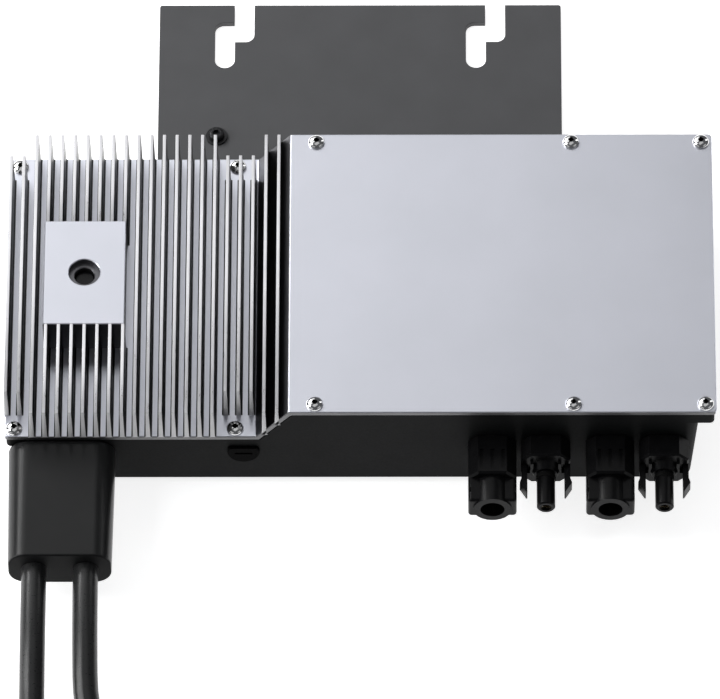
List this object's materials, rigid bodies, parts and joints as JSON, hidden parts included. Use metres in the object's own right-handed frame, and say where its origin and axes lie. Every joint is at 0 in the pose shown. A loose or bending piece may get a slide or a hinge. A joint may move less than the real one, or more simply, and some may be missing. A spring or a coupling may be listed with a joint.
{
  "type": "micro inverter",
  "caption": "Finned micro inverter on a hook-slot bracket, with paired socket and pin DC connectors and two round AC leads from a moulded block.",
  "frame": {"origin": "middle of the footprint of casing, bracket, cable block and connectors, on the back face of the bracket; the free AC leads are left out of it", "axes": "+Z out of the finned front, +Y towards the bracket hook slots, +X to the right seen from the front"},
  "size_m": [0.277, 0.5754, 0.0521],
  "materials": {
    "lid_aluminium": "fine blasted, clear coated",
    "tray_black": "satin black powder coat",
    "bracket_grey": "matt grey coat",
    "bright_steel": "bright zinc",
    "black_steel": "black oxide",
    "block_plastic": "satin moulded",
    "lead_jacket": "smooth jacket",
    "seal_rubber": "matt",
    "connector_plastic": "satin moulded",
    "contact_metal": "tinned",
    "smoked_lens": "polished",
    "board_green": "solder mask",
    "ferrite": "ground",
    "winding_tape": "polyester tape",
    "copper_wire": "enamelled",
    "can_sleeve": "shrink sleeve",
    "film_box": "moulded",
    "chip_black": "moulded",
    "thermal_grey": "soft pad",
    "relay_case": "moulded",
    "ceramic_blue": "coated ceramic",
    "led_clear": "clear",
    "wire_cover": "smooth",
    "terminal_green": "moulded",
    "tie_fabric": "woven hook and loop",
    "fuse_ceramic": "ceramic body"
  },
  "bodies": {
    "inverter": {"heatsink_lid": "lid_aluminium", "lid_gasket": "seal_rubber", "rear_tray": "tray_black", "lid_screws": "bright_steel", "mounting_bracket": "bracket_grey", "bracket_screws": "bright_steel", "earth_screw": "black_steel", "earth_washer": "black_steel", "breather_vent": "connector_plastic", "ac_cable_block": "block_plastic", "ac_block_seal": "seal_rubber", "ac_block_retainer": "bright_steel", "ac_lead_1": "lead_jacket", "ac_lead_1_coil": "lead_jacket", "ac_lead_1_tail": "lead_jacket", "ac_lead_2": "lead_jacket", "ac_lead_2_coil": "lead_jacket", "ac_lead_2_tail": "lead_jacket", "coil_ties": "tie_fabric", "ac_end_glands": "connector_plastic", "ac_plug_shell": "connector_plastic", "ac_plug_insert": "connector_plastic", "ac_plug_contacts": "contact_metal", "ac_socket_shell": "connector_plastic", "ac_socket_insert": "connector_plastic", "ac_socket_contacts": "contact_metal", "dc_socket_housing_1": "connector_plastic", "dc_socket_housing_2": "connector_plastic", "dc_socket_contacts": "contact_metal", "dc_pin_housing_1": "connector_plastic", "dc_pin_housing_2": "connector_plastic", "dc_pin_contacts": "contact_metal", "dc_o_rings": "seal_rubber", "dc_panel_seals": "seal_rubber", "dc_lock_nuts": "connector_plastic", "light_pipe": "smoked_lens", "status_led": "led_clear", "main_board": "board_green", "board_standoffs": "contact_metal", "board_screws": "bright_steel", "transformer_cores": "ferrite", "transformer_windings": "winding_tape", "input_capacitors": "can_sleeve", "film_capacitors": "film_box", "power_transistors": "chip_black", "thermal_pads": "thermal_grey", "filter_choke_core": "ferrite", "filter_choke_winding": "copper_wire", "grid_relays": "relay_case", "varistor": "ceramic_blue", "fuse": "fuse_ceramic", "control_chips": "chip_black", "ac_terminals": "terminal_green", "ac_wires": "wire_cover", "dc_wires": "wire_cover"},
    "latch_1_left": {"dc_latch_1_left": "connector_plastic"},
    "latch_1_right": {"dc_latch_1_right": "connector_plastic"},
    "latch_2_left": {"dc_latch_2_left": "connector_plastic"},
    "latch_2_right": {"dc_latch_2_right": "connector_plastic"},
    "coupling_nut": {"ac_coupling_nut": "connector_plastic"}
  },
  "joints": [
    {"name": "latch_1_left_flex", "type": "hinge", "parent": "inverter", "child": "latch_1_left", "pos_m": [0.06395, -0.09405, 0.024], "axis": [0, 0, 1], "range_deg": [0, 5], "stiffness_Nm_per_rad": 0.5},
    {"name": "latch_1_right_flex", "type": "hinge", "parent": "inverter", "child": "latch_1_right", "pos_m": [0.08065, -0.09405, 0.024], "axis": [0, 0, -1], "range_deg": [0, 5], "stiffness_Nm_per_rad": 0.5},
    {"name": "latch_2_left_flex", "type": "hinge", "parent": "inverter", "child": "latch_2_left", "pos_m": [0.10995, -0.09405, 0.024], "axis": [0, 0, 1], "range_deg": [0, 5], "stiffness_Nm_per_rad": 0.5},
    {"name": "latch_2_right_flex", "type": "hinge", "parent": "inverter", "child": "latch_2_right", "pos_m": [0.12665, -0.09405, 0.024], "axis": [0, 0, -1], "range_deg": [0, 5], "stiffness_Nm_per_rad": 0.5},
    {"name": "coupling_nut_spin", "type": "hinge", "parent": "inverter", "child": "coupling_nut", "pos_m": [0.0588, -0.38345, 0.013], "axis": [1, 0, 0], "continuous": true}
  ]
}
